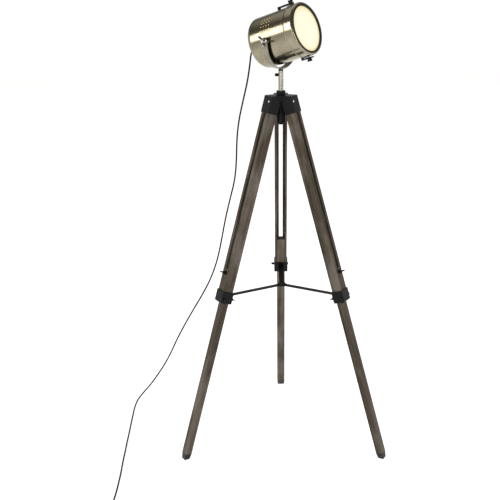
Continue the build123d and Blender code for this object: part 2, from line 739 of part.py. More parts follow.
# ---------------------------------------------------------------- cord
def bend_radii(points):
    """Radius at each corner, taken from the shorter run beside it and the turn."""
    radii = []
    for before, here, after in zip(points, points[1:], points[2:]):
        run_in, run_out = Vector(*here) - Vector(*before), Vector(*after) - Vector(*here)
        turn = radians(run_in.get_angle(run_out))
        radii.append(0.45 * min(run_in.length, run_out.length) / tan(turn / 2))
    return radii


def cord_tube(points, name):
    """Round cord along a line of points with every corner rounded."""
    radii = bend_radii(points)
    with BuildPart() as made:
        with BuildLine():
            way = FilletPolyline(*points, radius=radii)
        with BuildSketch(Plane(origin=points[0], z_dir=tuple(Vector(*points[1]) - Vector(*points[0])))):
            Circle(CORD_R)
        sweep(path=way)
    expected = pi * CORD_R ** 2 * way.length
    print(name, "radii", [round(r) for r in radii], "least", round(min(radii), 1))
    print(name, "volume over section times length", round(made.part.volume / expected, 4))
    return made


def floor_point(x, y):
    """Point of the cord's middle where it lies on the floor, from the mast's line."""
    return (x, y + MAST_Y, CORD_R)


def make_coil():
    """Outer shape of the turns, one on top of the other."""
    inner, outer = COIL_TURN_R - CORD_R, COIL_TURN_R + CORD_R
    with BuildPart() as made:
        with BuildSketch(Plane((COIL_X, COIL_Y + MAST_Y, 0))):
            Circle(outer)
            Circle(inner, mode=Mode.SUBTRACT)
        extrude(amount=COIL_TURNS * COIL_PITCH + CORD_R)
        chamfer(made.faces().sort_by(Axis.Z)[-1].edges(), length=1.2)
    return made


def make_plug():
    """Two-pin plug lying on the floor at the end of a short tail that comes down from the coil."""
    x, y, z = COIL_X + COIL_TURN_R, COIL_Y + MAST_Y, PLUG_Z
    top = Vector(x, y, COIL_TURNS * COIL_PITCH - CORD_R / 2)
    relief, body, face = y - 40.0, y - 62.0, y - 98.0
    tail = Vector(x, relief, z) - top
    with BuildPart() as made:
        with BuildSketch(Plane(origin=tuple(top), z_dir=tuple(tail))):
            Circle(CORD_R)
        extrude(amount=tail.length)
        with BuildSketch(Plane((x, relief, z), x_dir=(1, 0, 0), z_dir=(0, -1, 0))):
            Circle(3.6)
        with BuildSketch(Plane((x, body, z), x_dir=(1, 0, 0), z_dir=(0, -1, 0))):
            Circle(6.2)
        loft()
        with BuildSketch(Plane((x, body, z), x_dir=(1, 0, 0), z_dir=(0, -1, 0))):
            RectangleRounded(26.0, 14.0, 5.0)
        extrude(amount=body - face)
        with BuildSketch(Plane((x, face, z), x_dir=(1, 0, 0), z_dir=(0, -1, 0))):
            with Locations((-9.5, 0), (9.5, 0)):
                Circle(2.0)
        extrude(amount=19.0)
    return made


# ---------------------------------------------------------------- pieces
save(make_hub(), "hub")
save(make_mast(), "mast")
save(make_mast_collar(), "mast_collar")
save(make_mast_nut(), "mast_nut")
save(make_brace_hub(), "brace_hub")
for where, bearing in BEARINGS.items():
    save(rail(bearing, 1), f"rail_{where}_a")
    save(rail(bearing, -1), f"rail_{where}_b")
    save(spacer(bearing), f"spacer_{where}")
    save(collar(bearing), f"collar_{where}")
    save(lower_leg(bearing), f"lower_leg_{where}")
    save(foot_pad(bearing), f"foot_{where}")
    save(brace_arm(bearing), f"brace_{where}")
    save(leg_screw(bearing), f"leg_screw_{where}")
    bolt_line = leg_side_plane(bearing, LIP_X, CROSS_BOLT_S)
    save(pin_with_heads(bolt_line, -COLLAR_Y, COLLAR_Y, 10.0, 3.0, BOLT_HEAD_R), f"cross_bolt_{where}")
    clamp_face = leg_face_plane(bearing, RAIL_DEPTH / 2, CLAMP_S)
    save(thumb_knob(clamp_face, 6.0, 8.0, 12.0, 14.5, 3.6, PIN_R, RAIL_DEPTH / 2 - STICK_OUTER - 0.3),
         f"clamp_knob_{where}")
    base = leg_face_plane(bearing, -COLLAR_X - BRACE_THICK, BRACE_SCREW_S)
    inward = Plane(base.origin, x_dir=base.x_dir, z_dir=tuple(base.z_dir * -1))
    save(thumb_knob(inward, 4.5, 12.0, 6.0, 17.0, 2.8, PIN_R, BRACE_THICK + COLLAR_WALL - 0.25),
         f"brace_screw_{where}")

save(make_yoke(), "yoke")
save(make_stem(), "stem")
lock_face = Plane((-MAST_R - 0.2, MAST_Y, LOCK_Z), x_dir=(0, 1, 0), z_dir=(-1, 0, 0))
save(round_knob(lock_face, 4.8, 10.5, PIN_R, MAST_R + 0.2 - STEM_R - 0.3), "stem_knob")

save(make_barrel(), "barrel")
save(make_rear_cap(), "rear_cap")
save(make_front_ring(), "front_ring")
save(turned((
    (RIM_R, BARREL_FRONT), (BARREL_R - 0.6, BARREL_FRONT), (BARREL_R - 0.6, RING_FRONT - RING_CURL - 0.4),
    (RING_R - RING_CURL - 0.2, RING_FRONT - 3.4), (RING_R - RING_CURL - 0.2, RING_FRONT + 0.8),
    (RIM_R + 0.8, RING_FRONT + 0.8), (RIM_R, RING_FRONT), (RIM_R, LENS_SEAT), (LENS_R, LENS_SEAT),
    (LENS_R, LENS_SEAT - LENS_THICK), (RIM_R, LENS_SEAT - LENS_THICK),
)), "lens_gasket")
save(make_lens(), "lens")
save(make_reflector(), "reflector")
save(turned((
    (0, CAP_END + SHEET), (20.0, CAP_END + SHEET), (20.0, HOLDER_END - 2.0), (18.0, HOLDER_END), (0, HOLDER_END),
)), "lamp_holder")
save(make_bulb(), "bulb")
save(make_gland(), "cord_gland")
save(make_bracket(90, 20.0, 76.0, 68.0, 9.5, 5.0), "bracket_top")
save(make_bracket(-90, 58.0, 98.0, 84.0, 9.0, 4.0), "bracket_bottom")
save(make_stud(1), "stud_far")
save(make_stud(-1), "stud_near")
save(make_wing_nut(1), "wing_nut_far")
save(make_wing_nut(-1), "wing_nut_near")

# The cord leaves the gland straight back, falls past the back leg's side, lands softly and
# runs forward along the floor to a small coil with the plug beside it.
exit_point = barrel_plane(RELIEF_END).origin
first_bend = barrel_plane(RELIEF_END - 22.0).origin
MEET_NEAR, MEET_FAR = floor_point(-548, 212), floor_point(-549, 180)
MEET = tuple((a + b) / 2 for a, b in zip(MEET_NEAR, MEET_FAR))
HANG = (
    (-93, 60, 1308), (-97, 62, 1273),
    (-106, 66, 1216), (-122, 73, 1152), (-137, 81, 1088), (-145, 84, 1023), (-147, 86, 956),
    (-154, 89, 887), (-173, 98, 816), (-191, 107, 743), (-205, 113, 671), (-221, 121, 598),
    (-246, 133, 526), (-280, 149, 458), (-315, 166, 396), (-349, 182, 333), (-381, 198, 270),
    (-409, 211, 206), (-439, 226, 148), (-470, 241, 98), (-495, 252, 60),
    (-517, 260, 32), (-533, 256, 14), (-545, 236, 4.5),
)
hanging = [tuple(exit_point), tuple(first_bend)]
hanging += [(x, y + MAST_Y, z) for x, y, z in HANG]
hanging += [MEET_NEAR, MEET]
save(cord_tube(hanging, "cord_hanging"), "cord_hanging")

FLOOR = (
    (-549, 152), (-547, 104), (-545, 45), (-542, -20), (-540, -85), (-537, -150), (-535, -215),
    (-531, -280), (-529, -345), (-528, -410),
)
COIL_ENTRY_X = COIL_X + COIL_TURN_R
lying = [MEET, MEET_FAR] + [floor_point(x, y) for x, y in FLOOR]
lying += [floor_point(COIL_ENTRY_X, COIL_Y + 75), floor_point(COIL_ENTRY_X, COIL_Y + 15)]
save(cord_tube(lying, "cord_floor"), "cord_floor")
save(make_coil(), "cord_coil")
save(make_plug(), "plug")
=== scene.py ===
import math

import bpy
import numpy as np
from mathutils import Matrix


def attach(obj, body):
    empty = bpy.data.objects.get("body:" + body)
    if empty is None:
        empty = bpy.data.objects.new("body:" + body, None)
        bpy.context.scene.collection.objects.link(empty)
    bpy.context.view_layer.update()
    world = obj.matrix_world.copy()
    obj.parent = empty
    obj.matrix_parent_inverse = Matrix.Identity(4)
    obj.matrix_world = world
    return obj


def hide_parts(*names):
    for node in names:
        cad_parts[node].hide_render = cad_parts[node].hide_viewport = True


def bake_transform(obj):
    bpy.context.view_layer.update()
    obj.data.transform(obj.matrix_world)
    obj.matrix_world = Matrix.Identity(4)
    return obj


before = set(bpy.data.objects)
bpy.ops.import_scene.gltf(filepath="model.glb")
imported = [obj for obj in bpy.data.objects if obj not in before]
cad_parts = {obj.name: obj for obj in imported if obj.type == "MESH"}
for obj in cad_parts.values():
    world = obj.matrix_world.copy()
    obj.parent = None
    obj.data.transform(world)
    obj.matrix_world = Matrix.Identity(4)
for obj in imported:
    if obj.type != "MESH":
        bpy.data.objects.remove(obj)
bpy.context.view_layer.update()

# Row frame, metres. The mast stands a little forward of the origin.
MAST_Y = -0.09154
LEG_SPLAY = math.atan(382.6 / 1270.0)
LEG_BEARINGS = {"left": 210, "right": 330, "back": 90}
HEAD_BEARING, HEAD_RISE = math.radians(-34.5), math.radians(17.3)
TILT_POINT = np.array([0.0, MAST_Y, 1.352])
AHEAD = np.array([
    math.cos(HEAD_BEARING) * math.cos(HEAD_RISE),
    math.sin(HEAD_BEARING) * math.cos(HEAD_RISE),
    math.sin(HEAD_RISE),
])
TILT_AXIS = np.array([-math.sin(HEAD_BEARING), math.cos(HEAD_BEARING), 0.0])
HEAD_UP = np.cross(AHEAD, TILT_AXIS)
BARREL_DROP = 0.0045
BARREL_MIDDLE = TILT_POINT + BARREL_DROP * HEAD_UP

# ---------------------------------------------------------------- camera
CAMERA_PLACE = (-0.046, -2.854 + MAST_Y, 1.564)
YAW, PITCH, ROLL = math.radians(-1.19), math.radians(17.41), math.radians(-0.91)
forward = np.array([math.sin(YAW) * math.cos(PITCH), math.cos(YAW) * math.cos(PITCH), -math.sin(PITCH)])
level = np.array([math.cos(YAW), -math.sin(YAW), 0.0])
upward = np.cross(level, forward)
right = math.cos(ROLL) * level + math.sin(ROLL) * upward
above = -math.sin(ROLL) * level + math.cos(ROLL) * upward
camera = bpy.data.objects.new("camera", bpy.data.cameras.new("camera"))
bpy.context.scene.collection.objects.link(camera)
camera.data.lens = 64.8
camera.data.sensor_width = 36.0
camera.data.clip_end = 50.0
turn = Matrix([[float(right[i]), float(above[i]), float(-forward[i])] for i in range(3)])
camera.matrix_world = Matrix.Translation(CAMERA_PLACE) @ turn.to_4x4()
bpy.context.scene.camera = camera


# ---------------------------------------------------------------- mesh helpers
def make_mesh(name, points, faces, material, smooth=True):
    """Mesh object from an array of points and a list of faces."""
    mesh = bpy.data.meshes.new(name)
    mesh.from_pydata(np.asarray(points, float).tolist(), [], faces)
    mesh.update()
    mesh.materials.append(material)
    mesh.polygons.foreach_set("use_smooth", [smooth] * len(mesh.polygons))
    made = bpy.data.objects.new(name, mesh)
    bpy.context.scene.collection.objects.link(made)
    return made


def grid_faces(rows, columns, wrap_rows=False):
    """Quads of a rows by columns grid whose columns close on themselves."""
    r, c = np.meshgrid(np.arange(rows if wrap_rows else rows - 1), np.arange(columns), indexing="ij")
    nxt, step = (r + 1) % rows, (c + 1) % columns
    quads = np.stack([r * columns + c, r * columns + step, nxt * columns + step, nxt * columns + c], axis=-1)
    return quads.reshape(-1, 4).tolist()


def frames_along(path):
    """Two unit vectors square to a path at each point, carried along it without twisting."""
    tangent = np.gradient(path, axis=0)
    tangent /= np.linalg.norm(tangent, axis=1)[:, None]
    side = np.cross(tangent[0], [0.31, 0.2, 0.93])
    sides = np.empty_like(path)
    for i, along in enumerate(tangent):
        side = side - along * side.dot(along)
        side = side / np.linalg.norm(side)
        sides[i] = side
    return sides, np.cross(tangent, sides)


def tube(name, path, radius, material, around=16):
    """Round tube: point = path + radius (side cos u + other sin u), with a flat cap at each end."""
    path = np.asarray(path, float)
    radius = np.broadcast_to(np.asarray(radius, float), (len(path),))
    sides, others = frames_along(path)
    u = np.linspace(0, 2 * np.pi, around, endpoint=False)
    ring = sides[:, None, :] * np.cos(u)[None, :, None] + others[:, None, :] * np.sin(u)[None, :, None]
    points = (path[:, None, :] + radius[:, None, None] * ring).reshape(-1, 3)
    faces = grid_faces(len(path), around)
    faces += [list(range(around))[::-1], [(len(path) - 1) * around + i for i in range(around)]]
    return make_mesh(name, points, faces, material)


def lathe(name, profile, origin, along, across, material, around=48):
    """Turned piece: profile of (radius, height) swept about an axis; it starts and ends on the axis."""
    profile = np.asarray(profile, float)
    along, across = np.asarray(along, float), np.asarray(across, float)
    other = np.cross(along, across)
    u = np.linspace(0, 2 * np.pi, around, endpoint=False)
    ring = across[None, :] * np.cos(u)[:, None] + other[None, :] * np.sin(u)[:, None]
    points = profile[:, 0, None, None] * ring[None] + profile[:, 1, None, None] * along[None, None, :]
    points = points.reshape(-1, 3) + np.asarray(origin, float)
    faces = grid_faces(len(profile), around)
    faces += [list(range(around))[::-1], [(len(profile) - 1) * around + i for i in range(around)]]
    return make_mesh(name, points, faces, material)


def nurbs_line(name, controls):
    """Points along one smooth NURBS line through given control points, in metres."""
    curve = bpy.data.curves.new(name, "CURVE")
    curve.dimensions = "3D"
    spline = curve.splines.new("NURBS")
    spline.points.add(len(controls) - 1)
    for point, place in zip(spline.points, controls):
        point.co = (*place, 1.0)
    spline.order_u = 3
    spline.use_endpoint_u = True
    spline.resolution_u = 7
    holder = bpy.data.objects.new(name, curve)
    bpy.context.scene.collection.objects.link(holder)
    flat = bpy.data.meshes.new_from_object(holder)
    line = np.empty(len(flat.vertices) * 3)
    flat.vertices.foreach_get("co", line)
    bpy.data.objects.remove(holder)
    bpy.data.meshes.remove(flat)
    line = line.reshape(-1, 3)
    keep = np.r_[True, np.linalg.norm(np.diff(line, axis=0), axis=1) > 1e-6]
    return line[keep]


# ---------------------------------------------------------------- shared effects
def new_group(name, inputs, outputs):
    """Empty node group with named sockets, and its input and output nodes."""
    tree = bpy.data.node_groups.new(name, "ShaderNodeTree")
    for label, kind in inputs:
        tree.interface.new_socket(name=label, in_out="INPUT", socket_type=kind)
    for label, kind in outputs:
        tree.interface.new_socket(name=label, in_out="OUTPUT", socket_type=kind)
    return tree, tree.nodes.new("NodeGroupInput"), tree.nodes.new("NodeGroupOutput")


def mapped(tree, source, scale):
    """Vector socket scaled by three numbers."""
    node = tree.nodes.new("ShaderNodeMapping")
    node.inputs["Scale"].default_value = scale
    tree.links.new(source, node.inputs["Vector"])
    return node.outputs["Vector"]


def noise(tree, source, scale, detail=4.0, rough=0.55, distort=0.0):
    """Fractal noise over a vector, from 0 to 1."""
    node = tree.nodes.new("ShaderNodeTexNoise")
    node.inputs["Scale"].default_value = scale
    node.inputs["Detail"].default_value = detail
    node.inputs["Roughness"].default_value = rough
    node.inputs["Distortion"].default_value = distort
    tree.links.new(source, node.inputs["Vector"])
    return node.outputs["Fac"]


def ramp(tree, source, stops):
    """Colour ramp with (place, colour) stops."""
    node = tree.nodes.new("ShaderNodeValToRGB")
    while len(node.color_ramp.elements) < len(stops):
        node.color_ramp.elements.new(0.5)
    for element, (place, colour) in zip(node.color_ramp.elements, stops):
        element.position = place
        element.color = (*colour, 1.0)
    tree.links.new(source, node.inputs["Fac"])
    return node.outputs["Color"]


def remap(tree, source, low, high, to_low, to_high):
    """Straight-line map of a value from one span to another."""
    node = tree.nodes.new("ShaderNodeMapRange")
    for label, value in (("From Min", low), ("From Max", high), ("To Min", to_low), ("To Max", to_high)):
        node.inputs[label].default_value = value
    tree.links.new(source, node.inputs["Value"])
    return node.outputs["Result"]


def math_node(tree, operation, first, second):
    """One arithmetic step on sockets or numbers."""
    node = tree.nodes.new("ShaderNodeMath")
    node.operation = operation
    for socket, value in zip(node.inputs, (first, second)):
        if isinstance(value, (int, float)):
            socket.default_value = value
        else:
            tree.links.new(value, socket)
    return node.outputs[0]


def mix_colour(tree, kind, amount, first, second):
    """Blend of two colours by a factor."""
    node = tree.nodes.new("ShaderNodeMix")
    node.data_type = "RGBA"
    node.blend_type = kind
    for socket, value in ((node.inputs[0], amount), (node.inputs[6], first), (node.inputs[7], second)):
        if isinstance(value, (int, float)):
            socket.default_value = value
        elif isinstance(value, tuple):
            socket.default_value = (*value, 1.0)
        else:
            tree.links.new(value, socket)
    return node.outputs[2]


def build_grain():
    """Wood grain along local Z: long fibres, broad growth bands, dark pores and grey bloom."""
    tree, put, out = new_group(
        "wood_grain",
        [("Vector", "NodeSocketVector"), ("Dark", "NodeSocketColor"), ("Light", "NodeSocketColor")],
        [("Color", "NodeSocketColor"), ("Roughness", "NodeSocketFloat"), ("Height", "NodeSocketFloat")],
    )
    place = put.outputs["Vector"]
    bands = noise(tree, mapped(tree, place, (60.0, 60.0, 2.2)), 1.0, 3.0, 0.5, 0.8)
    fibres = noise(tree, mapped(tree, place, (420.0, 420.0, 9.0)), 1.0, 5.0, 0.6)
    pores = noise(tree, mapped(tree, place, (900.0, 900.0, 26.0)), 1.0, 2.0, 0.5)
    bloom = noise(tree, mapped(tree, place, (14.0, 14.0, 6.0)), 1.0, 4.0, 0.6)
    banded = math_node(
        tree, "ADD", math_node(tree, "MULTIPLY", bands, 0.6), math_node(tree, "MULTIPLY", fibres, 0.4)
    )
    share = remap(tree, banded, 0.36, 0.62, 0.0, 1.0)
    tone = mix_colour(tree, "MIX", share, put.outputs["Dark"], put.outputs["Light"])
    pore_mask = remap(tree, pores, 0.34, 0.44, 0.55, 0.0)
    tone = mix_colour(tree, "MIX", pore_mask, tone, (0.05, 0.035, 0.025))
    tone = mix_colour(tree, "MIX", remap(tree, bloom, 0.45, 0.75, 0.0, 0.4), tone, (0.36, 0.33, 0.30))
    tree.links.new(tone, out.inputs["Color"])
    tree.links.new(remap(tree, fibres, 0.3, 0.7, 0.48, 0.7), out.inputs["Roughness"])
    tree.links.new(math_node(tree, "SUBTRACT", fibres, pore_mask), out.inputs["Height"])
    return tree


def build_brush():
    """Brushing: fine hair lines with stretch set by the vector's scale, plus soft patina."""
    tree, put, out = new_group(
        "brushed", [("Vector", "NodeSocketVector"), ("Patina Vector", "NodeSocketVector"),
                    ("Base", "NodeSocketColor"), ("Patina", "NodeSocketColor")],
        [("Color", "NodeSocketColor"), ("Roughness", "NodeSocketFloat"), ("Height", "NodeSocketFloat")],
    )
    lines = noise(tree, put.outputs["Vector"], 1.0, 6.0, 0.65)
    patches = noise(tree, put.outputs["Patina Vector"], 22.0, 4.0, 0.6)
    share = remap(tree, patches, 0.4, 0.7, 0.0, 0.6)
    tone = mix_colour(tree, "MIX", share, put.outputs["Base"], put.outputs["Patina"])
    streaks = ramp(tree, lines, ((0.3, (0.6, 0.6, 0.6)), (0.7, (1, 1, 1))))
    tone = mix_colour(tree, "MULTIPLY", 0.35, tone, streaks)
    tree.links.new(tone, out.inputs["Color"])
    rough = math_node(
        tree, "ADD", remap(tree, lines, 0.3, 0.7, 0.13, 0.22), remap(tree, patches, 0.4, 0.7, 0.0, 0.08)
    )
    tree.links.new(rough, out.inputs["Roughness"])
    tree.links.new(lines, out.inputs["Height"])
    return tree


def build_moulded():
    """Satin coated or moulded surface: very fine orange peel with light dust in broad patches."""
    tree, put, out = new_group(
        "moulded", [("Vector", "NodeSocketVector"), ("Base", "NodeSocketColor"), ("Dust", "NodeSocketFloat")],
        [("Color", "NodeSocketColor"), ("Roughness", "NodeSocketFloat"), ("Height", "NodeSocketFloat")],
    )
    peel = noise(tree, put.outputs["Vector"], 1400.0, 2.0, 0.5)
    patches = noise(tree, put.outputs["Vector"], 35.0, 5.0, 0.6)
    dusty = math_node(tree, "MULTIPLY", remap(tree, patches, 0.5, 0.75, 0.0, 1.0), put.outputs["Dust"])
    tone = mix_colour(tree, "MIX", dusty, put.outputs["Base"], (0.3, 0.29, 0.27))
    tree.links.new(tone, out.inputs["Color"])
    tree.links.new(remap(tree, patches, 0.3, 0.7, 0.36, 0.5), out.inputs["Roughness"])
    tree.links.new(peel, out.inputs["Height"])
    return tree


GRAIN, BRUSH, MOULDED = build_grain(), build_brush(), build_moulded()


def local_vector(tree, origin, x, y, z):
    """Object coordinates measured from an origin along three unit vectors."""
    coords = tree.nodes.new("ShaderNodeTexCoord")
    shift = tree.nodes.new("ShaderNodeVectorMath")
    shift.operation = "SUBTRACT"
    shift.inputs[1].default_value = [float(v) for v in origin]
    tree.links.new(coords.outputs["Object"], shift.inputs[0])
    join = tree.nodes.new("ShaderNodeCombineXYZ")
    for i, axis in enumerate((x, y, z)):
        dot = tree.nodes.new("ShaderNodeVectorMath")
        dot.operation = "DOT_PRODUCT"
        dot.inputs[1].default_value = [float(v) for v in axis]
        tree.links.new(shift.outputs[0], dot.inputs[0])
        tree.links.new(dot.outputs["Value"], join.inputs[i])
    return join.outputs[0]


def polar_vector(tree, local):
    """Local vector as (angle, station, radius), for lines that run round a barrel."""
    part = tree.nodes.new("ShaderNodeSeparateXYZ")
    tree.links.new(local, part.inputs[0])
    angle = math_node(tree, "ARCTAN2", part.outputs["Y"], part.outputs["X"])
    flat = math_node(tree, "ADD", math_node(tree, "MULTIPLY", part.outputs["X"], part.outputs["X"]),
                     math_node(tree, "MULTIPLY", part.outputs["Y"], part.outputs["Y"]))
    join = tree.nodes.new("ShaderNodeCombineXYZ")
    tree.links.new(angle, join.inputs[0])
    tree.links.new(part.outputs["Z"], join.inputs[1])
    tree.links.new(math_node(tree, "SQRT", flat, 0.0), join.inputs[2])
    return join.outputs[0]


def start_material(name, colour):
    """Node material with its Principled shader; the viewport colour follows the base colour."""
    made = bpy.data.materials.new(name)
    made.use_nodes = True
    made.diffuse_color = (*colour, 1.0)
    tree = made.node_tree
    shader = next(node for node in tree.nodes if node.type == "BSDF_PRINCIPLED")
    return made, tree, shader


def drive(tree, shader, effect, bump, depth):
    """Joins a shared effect's outputs to the shader, with its height as a bump."""
    tree.links.new(effect.outputs["Color"], shader.inputs["Base Color"])
    tree.links.new(effect.outputs["Roughness"], shader.inputs["Roughness"])
    node = tree.nodes.new("ShaderNodeBump")
    node.inputs["Strength"].default_value = bump
    node.inputs["Distance"].default_value = depth
    tree.links.new(effect.outputs["Height"], node.inputs["Height"])
    tree.links.new(node.outputs["Normal"], shader.inputs["Normal"])


def use_group(tree, group, **values):
    """Adds a shared effect; each named value is set on its socket or linked to it."""
    node = tree.nodes.new("ShaderNodeGroup")
    node.node_tree = group
    for label, value in values.items():
        socket = node.inputs[label.replace("_", " ")]
        if isinstance(value, tuple):
            socket.default_value = (*value, 1.0)
        elif isinstance(value, float):
            socket.default_value = value
        else:
            tree.links.new(value, socket)
    return node


def leg_axes(bearing):
    """Unit vectors square to a leg, sideways and down along it, and the legs' meeting point."""
    out = np.array([math.cos(math.radians(bearing)), math.sin(math.radians(bearing)), 0.0])
    up = np.array([0.0, 0.0, 1.0])
    across = out * math.cos(LEG_SPLAY) + up * math.sin(LEG_SPLAY)
    down = out * math.sin(LEG_SPLAY) - up * math.cos(LEG_SPLAY)
    return across, np.cross(down, across), down, np.array([0.0, MAST_Y, 1.27])


WOOD_DARK, WOOD_LIGHT = (0.014, 0.010, 0.006), (0.108, 0.082, 0.052)


def wood_material(name, bearing, offset, dark=WOOD_DARK, light=WOOD_LIGHT):
    """Weathered oiled wood, its grain running down the leg."""
    made, tree, shader = start_material(name, light)
    across, side, down, apex = leg_axes(bearing)
    place = local_vector(tree, apex + np.asarray(offset), across, side, down)
    drive(tree, shader, use_group(tree, GRAIN, Vector=place, Dark=dark, Light=light), 0.35, 0.0006)
    shader.inputs["Specular IOR Level"].default_value = 0.2
    return made


def nickel_material(name, origin, axes, scale, polar, base=(0.30, 0.27, 0.195), patina=(0.19, 0.165, 0.105)):
    """Brushed nickel, its lines along the given axes or round the barrel."""
    made, tree, shader = start_material(name, base)
    place = local_vector(tree, origin, *axes)
    lines = mapped(tree, polar_vector(tree, place) if polar else place, scale)
    effect = use_group(tree, BRUSH, Vector=lines, Patina_Vector=place, Base=base, Patina=patina)
    drive(tree, shader, effect, 0.07, 0.0002)
    shader.inputs["Metallic"].default_value = 1.0
    return made


def coated_material(name, base, dust=0.12, rough_coat=0.0, metallic=0.0):
    """Satin coated or moulded black."""
    made, tree, shader = start_material(name, base)
    coords = tree.nodes.new("ShaderNodeTexCoord")
    effect = use_group(tree, MOULDED, Vector=coords.outputs["Object"], Base=base, Dust=dust)
    drive(tree, shader, effect, 0.15, 0.0002)
    shader.inputs["Metallic"].default_value = metallic
    shader.inputs["Coat Weight"].default_value = rough_coat
    shader.inputs["Specular IOR Level"].default_value = 0.14
    return made


def glow_material(name, colour, rim, strength, reach):
    """Frosted glass lit from behind: brightest in the middle, warmer and dimmer to the rim."""
    made, tree, shader = start_material(name, colour)
    place = local_vector(tree, BARREL_MIDDLE, TILT_AXIS, HEAD_UP, AHEAD)
    part = tree.nodes.new("ShaderNodeSeparateXYZ")
    tree.links.new(polar_vector(tree, place), part.inputs[0])
    frost = noise(tree, place, 900.0, 2.0, 0.5)
    outward = remap(tree, part.outputs["Z"], 0.0, reach, 0.0, 1.0)
    shade = ramp(tree, outward, ((0.0, colour), (0.75, colour), (1.0, rim)))
    dim = mix_colour(tree, "MULTIPLY", 1.0, shade, (0.18, 0.18, 0.18))
    tree.links.new(dim, shader.inputs["Base Color"])
    tree.links.new(shade, shader.inputs["Emission Color"])
    shader.inputs["Emission Strength"].default_value = strength
    tree.links.new(remap(tree, frost, 0.3, 0.7, 0.3, 0.5), shader.inputs["Roughness"])
    return made


HEAD_AXES = (TILT_AXIS, HEAD_UP, AHEAD)
WORLD_AXES = ((1, 0, 0), (0, 1, 0), (0, 0, 1))
barrel_metal = nickel_material("barrel_nickel", BARREL_MIDDLE, HEAD_AXES, (6.0, 1600.0, 40.0), True)
ring_metal = nickel_material("ring_nickel", BARREL_MIDDLE, HEAD_AXES, (6.0, 2200.0, 60.0), True,
                             (0.33, 0.30, 0.22), (0.22, 0.19, 0.125))
YOKE_AXES = (np.cross(TILT_AXIS, (0, 0, 1)), TILT_AXIS, (0, 0, 1))
yoke_metal = nickel_material("yoke_nickel", TILT_POINT, YOKE_AXES, (1400.0, 20.0, 20.0), False,
                             (0.27, 0.25, 0.20), (0.17, 0.15, 0.11))
mast_metal = nickel_material("mast_nickel", (0, MAST_Y, 0), WORLD_AXES, (90.0, 90.0, 1500.0), False,
                             (0.40, 0.37, 0.32), (0.34, 0.31, 0.26))
bright_metal = nickel_material("bright_steel", (0, 0, 0), WORLD_AXES, (300.0, 300.0, 300.0), False,
                               (0.70, 0.69, 0.66), (0.5, 0.49, 0.46))
black_metal = coated_material("black_metal", (0.003, 0.003, 0.0035), 0.01, 0.05)
black_plastic = coated_material("black_plastic", (0.003, 0.003, 0.0035), 0.01)
dark_steel = coated_material("dark_steel", (0.03, 0.028, 0.026), 0.05, 0.0, 0.8)
rubber = coated_material("rubber", (0.018, 0.017, 0.016), 0.25)
gasket = coated_material("gasket", (0.008, 0.007, 0.005), 0.02, 0.3)
cord_black = coated_material("cord_sheath", (0.004, 0.004, 0.0045), 0.02)
lens_glow = glow_material("lens_glow", (1.0, 0.96, 0.74), (0.93, 0.80, 0.42), 0.86, 0.07)
inner_glow = glow_material("reflector_glow", (1.0, 0.80, 0.45), (1.0, 0.72, 0.35), 7.0, 0.08)
opal = glow_material("opal_glass", (1.0, 0.9, 0.7), (1.0, 0.85, 0.6), 2.0, 0.04)

LOOKS = {
    "hub": black_metal, "mast": mast_metal, "mast_collar": black_metal, "mast_nut": black_metal,
    "brace_hub": black_metal,
    "yoke": yoke_metal, "stem": dark_steel, "stem_knob": black_plastic,
    "barrel": barrel_metal, "rear_cap": barrel_metal, "front_ring": ring_metal, "lens_gasket": gasket,
    "lens": lens_glow, "reflector": inner_glow, "lamp_holder": black_plastic, "bulb": opal,
    "cord_gland": black_plastic, "bracket_top": black_metal, "bracket_bottom": black_metal,
    "stud_far": yoke_metal, "stud_near": yoke_metal,
    "wing_nut_far": bright_metal, "wing_nut_near": bright_metal,
    "cord_hanging": cord_black, "cord_floor": cord_black, "cord_coil": cord_black, "plug": black_plastic,
}
for where, bearing in LEG_BEARINGS.items():
    for i, piece in enumerate(("rail_{}_a", "rail_{}_b", "spacer_{}", "lower_leg_{}")):
        cut = (0.13 * i, 0.07 * i + bearing, 0.4 * i)
        LOOKS[piece.format(where)] = wood_material(piece.format(where), bearing, cut)
    LOOKS[f"collar_{where}"] = black_plastic
    LOOKS[f"foot_{where}"] = rubber
    LOOKS[f"brace_{where}"] = black_metal
    LOOKS[f"leg_screw_{where}"] = bright_metal
    LOOKS[f"cross_bolt_{where}"] = black_metal
    LOOKS[f"clamp_knob_{where}"] = black_plastic
    LOOKS[f"brace_screw_{where}"] = black_metal
for node, look in LOOKS.items():
    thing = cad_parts[node]
    if not thing.material_slots:
        thing.data.materials.append(look)
    for place in thing.material_slots:
        place.material = look

# ---------------------------------------------------------------- cord
CORD_R = 0.0027
exit_point = BARREL_MIDDLE - 0.080 * AHEAD
first_bend = BARREL_MIDDLE - 0.102 * AHEAD
HANG = (
    (-93, 60, 1308), (-97, 62, 1273),
    (-106, 66, 1216), (-122, 73, 1152), (-137, 81, 1088), (-145, 84, 1023), (-147, 86, 956),
    (-154, 89, 887), (-173, 98, 816), (-191, 107, 743), (-205, 113, 671), (-221, 121, 598),
    (-246, 133, 526), (-280, 149, 458), (-315, 166, 396), (-349, 182, 333), (-381, 198, 270),
    (-409, 211, 206), (-439, 226, 148), (-470, 241, 98), (-495, 252, 60),
    (-517, 260, 32), (-533, 256, 14), (-545, 236, 4.5),
)
FLOOR = (
    (-548, 212), (-549, 180), (-549, 152), (-547, 104), (-545, 45), (-542, -20), (-540, -85), (-537, -150),
    (-535, -215), (-531, -280), (-529, -345), (-528, -410),
)
COIL_X, COIL_Y, COIL_R, COIL_PITCH = -560.0, -545.0, 29.7, 5.5
TURN_POINTS, TURN_GROWTH = 16, 1.0095     # a spline runs slightly inside its control points
LAID_Z, PLUG_Z = 2.7, 7.4
PIGTAIL = 3


